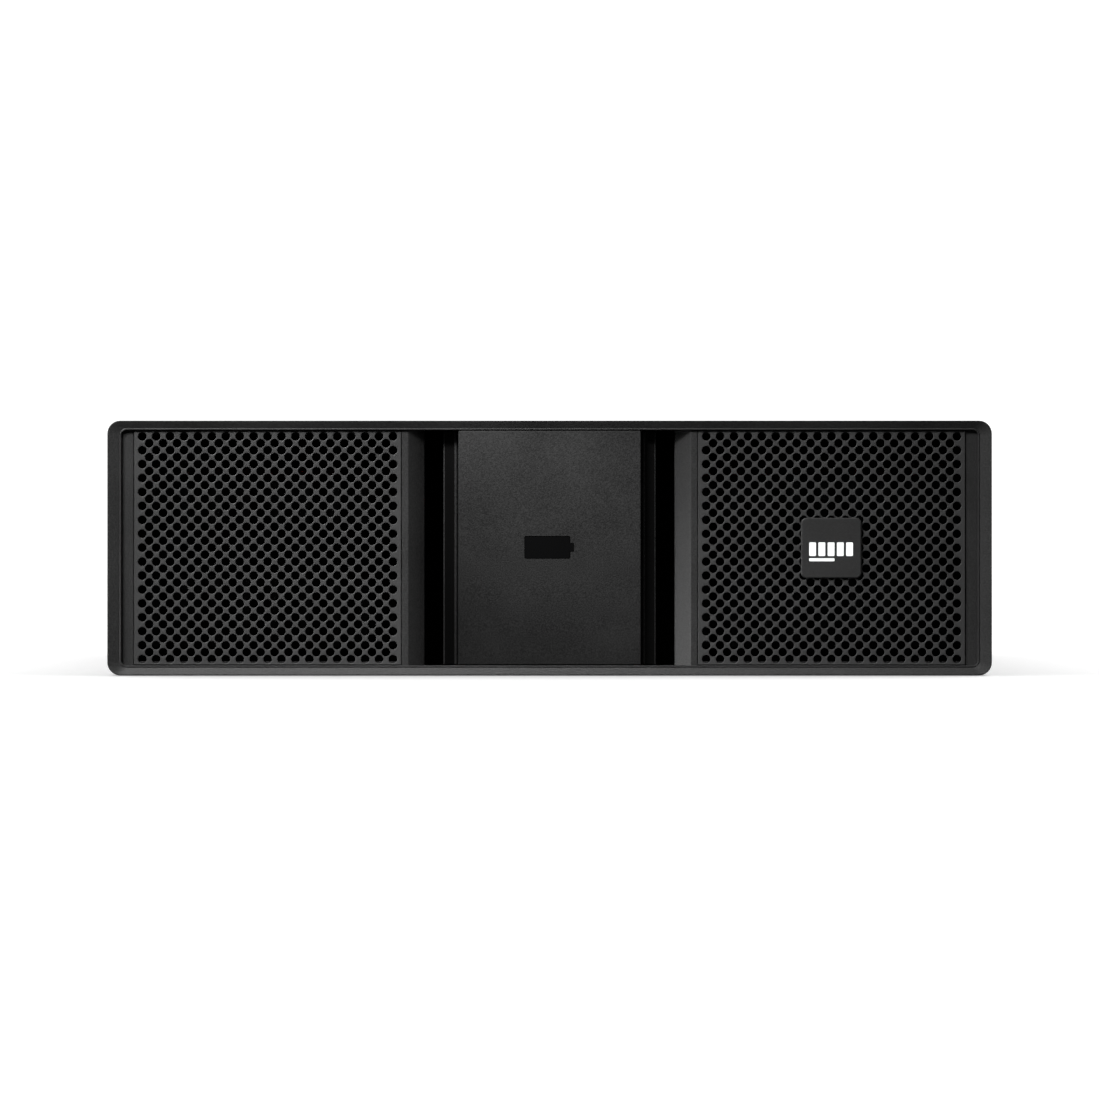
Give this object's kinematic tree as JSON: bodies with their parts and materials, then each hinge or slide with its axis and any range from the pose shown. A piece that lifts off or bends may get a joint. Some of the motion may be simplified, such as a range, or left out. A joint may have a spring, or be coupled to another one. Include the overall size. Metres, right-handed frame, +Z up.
{
  "type": "server rack battery",
  "caption": "Rack-mount external battery module with a removable perforated front bezel, slide-out battery trays, and a breaker and outlets at the back.",
  "frame": {"origin": "on the surface it stands on, under the middle of the whole box", "axes": "+X to the right as the bezel is faced, +Y from the bezel to the rear panel, +Z up"},
  "size_m": [0.44, 0.68, 0.127],
  "materials": {
    "bezel_plastic": "fine mould texture, black",
    "grille_steel": "satin black powder coat",
    "cover_plastic": "fine mould texture, black",
    "badge_plastic": "smooth satin charcoal",
    "symbol_gloss": "smooth black",
    "chassis_paint": "fine black powder coat",
    "zinc_steel": "zinc plated sheet",
    "block_case": "moulded ABS, charcoal",
    "connector_housing": "moulded, grey",
    "breaker_case": "moulded, dark grey",
    "black_plastic": "satin black",
    "cable_jacket": "black cable sheath",
    "cable_red": "red cable sheath",
    "copper_bar": "tinned or bare copper",
    "board_green": "solder mask",
    "insulation_film": "translucent film",
    "fuse_base": "moulded phenolic, brown",
    "label_paper": "blank printed label"
  },
  "bodies": {
    "chassis": {"base_pan": "chassis_paint", "top_cover": "chassis_paint", "front_bulkhead": "chassis_paint", "rear_panel": "chassis_paint", "cable_channel": "zinc_steel", "insulating_sheet": "insulation_film", "string_socket_left": "connector_housing", "string_socket_right": "connector_housing", "string_cable_left": "cable_jacket", "string_cable_right": "cable_jacket", "circuit_breaker": "breaker_case", "outlet_busbar_positive": "copper_bar", "outlet_busbar_negative": "copper_bar", "detection_board": "board_green", "ground_stud": "zinc_steel", "dc_outlet_1": "connector_housing", "dc_outlet_2": "connector_housing", "detection_port_1": "black_plastic", "detection_port_2": "black_plastic"},
    "front_bezel": {"bezel_frame": "bezel_plastic", "left_grille": "grille_steel", "right_grille": "grille_steel", "badge": "badge_plastic"},
    "centre_cover": {"centre_cover": "cover_plastic", "battery_symbol": "symbol_gloss"},
    "breaker_toggle": {"breaker_toggle": "black_plastic"},
    "tray_left": {"tray_pan_left": "chassis_paint", "tray_front_left": "chassis_paint", "tray_handle_left": "chassis_paint", "tray_plug_left": "connector_housing", "tray_lead_left": "cable_jacket", "hold_down_bar_left": "zinc_steel", "fuse_block_left": "fuse_base", "battery_block_left_1": "block_case", "battery_block_left_2": "block_case", "battery_block_left_3": "block_case", "battery_block_left_4": "block_case", "battery_block_left_5": "block_case", "battery_block_left_6": "block_case", "battery_block_left_7": "block_case", "battery_block_left_8": "block_case", "battery_block_left_9": "block_case", "battery_block_left_10": "block_case"},
    "tray_right": {"tray_pan_right": "chassis_paint", "tray_front_right": "chassis_paint", "tray_handle_right": "chassis_paint", "tray_plug_right": "connector_housing", "tray_lead_right": "cable_jacket", "hold_down_bar_right": "zinc_steel", "fuse_block_right": "fuse_base", "battery_block_right_1": "block_case", "battery_block_right_2": "block_case", "battery_block_right_3": "block_case", "battery_block_right_4": "block_case", "battery_block_right_5": "block_case", "battery_block_right_6": "block_case", "battery_block_right_7": "block_case", "battery_block_right_8": "block_case", "battery_block_right_9": "block_case", "battery_block_right_10": "block_case"}
  },
  "joints": [
    {"name": "tray_left_slide", "type": "slide", "parent": "chassis", "child": "tray_left", "axis": [0, -1, 0], "range_m": [0, 0.54]},
    {"name": "tray_right_slide", "type": "slide", "parent": "chassis", "child": "tray_right", "axis": [0, -1, 0], "range_m": [0, 0.54]},
    {"name": "bezel_pull", "type": "slide", "parent": "chassis", "child": "front_bezel", "axis": [0, -1, 0], "range_m": [0, 0.6]},
    {"name": "centre_cover_pull", "type": "slide", "parent": "front_bezel", "child": "centre_cover", "axis": [0, -1, 0], "range_m": [0, 0.05]},
    {"name": "breaker_throw", "type": "hinge", "parent": "chassis", "child": "breaker_toggle", "pos_m": [-0.012, 0.328, 0.0625], "axis": [1, 0, 0], "range_deg": [0, 70]}
  ],
  "couplings": [
    {"joint": "tray_right_slide", "follows": "tray_left_slide", "ratio": 1},
    {"joint": "bezel_pull", "follows": "tray_left_slide", "ratio": 1.1}
  ]
}
